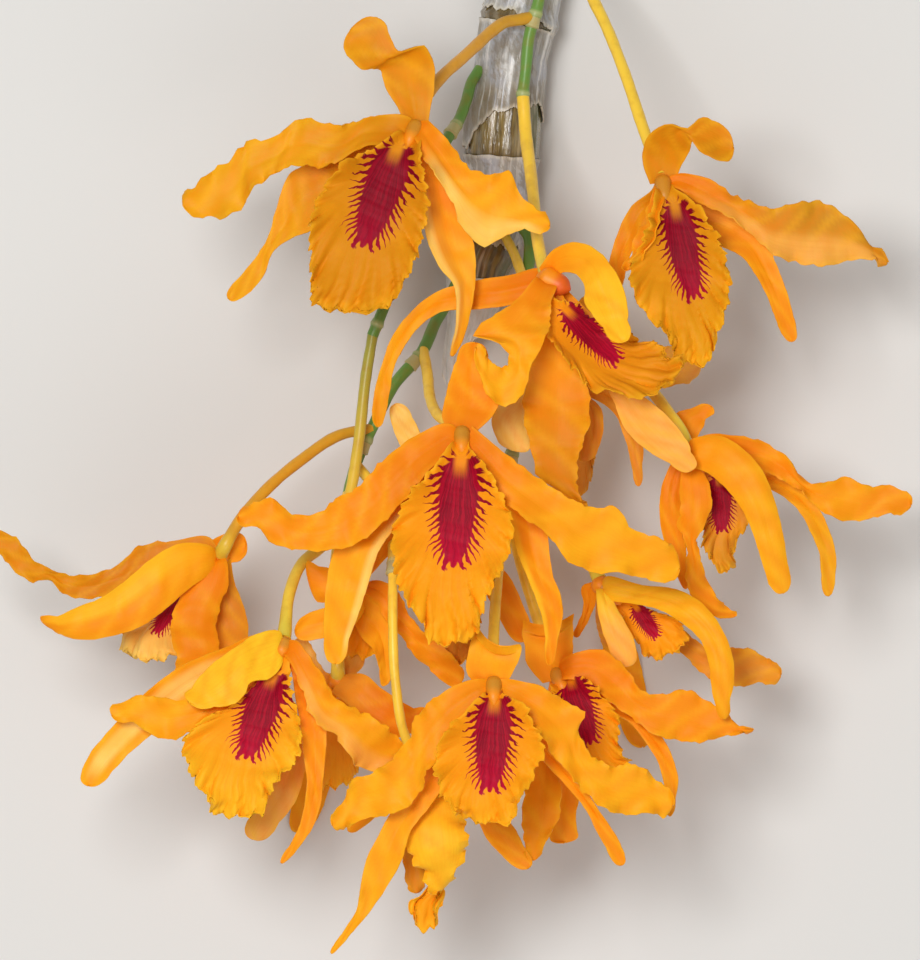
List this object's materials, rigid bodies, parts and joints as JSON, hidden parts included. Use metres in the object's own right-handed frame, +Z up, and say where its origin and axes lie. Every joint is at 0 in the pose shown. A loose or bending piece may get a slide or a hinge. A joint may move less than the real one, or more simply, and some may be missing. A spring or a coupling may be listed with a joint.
{
  "type": "dendrobium orchid",
  "caption": "Cut pendent orchid cane in papery sheaths, laid flat, with clusters of long-petalled orange blooms that have frilled crimson lips.",
  "frame": {"origin": "middle of the bounding box's underside, on the surface that the cane lies on", "axes": "+Z up from the surface towards the blooms, +Y along the cane towards its cut end, +X across the cane"},
  "size_m": [0.1536, 0.1728, 0.0649],
  "materials": {
    "cane": "glossy olive-brown skin",
    "sheath": "dry, papery and wrinkled",
    "stem": "smooth green to yellow stems",
    "bloom": "satin orange petals with crimson-blotched lips"
  },
  "bodies": {
    "root": {"cane": "cane", "sheath_1": "sheath", "sheath_2": "sheath", "sheath_3": "sheath", "sheath_4": "sheath", "bloom_a": "bloom", "bloom_b": "bloom", "bloom_c": "bloom", "bloom_d": "bloom", "bloom_e": "bloom", "bloom_f": "bloom", "bloom_g": "bloom", "bloom_h": "bloom", "bloom_i": "bloom", "bloom_j": "bloom", "bloom_k": "bloom", "bloom_l": "bloom", "bloom_m": "bloom", "bloom_n": "bloom", "bloom_o": "bloom", "raceme_1": "stem", "raceme_2": "stem", "raceme_3": "stem", "raceme_4": "stem", "raceme_5": "stem"}
  },
  "joints": []
}
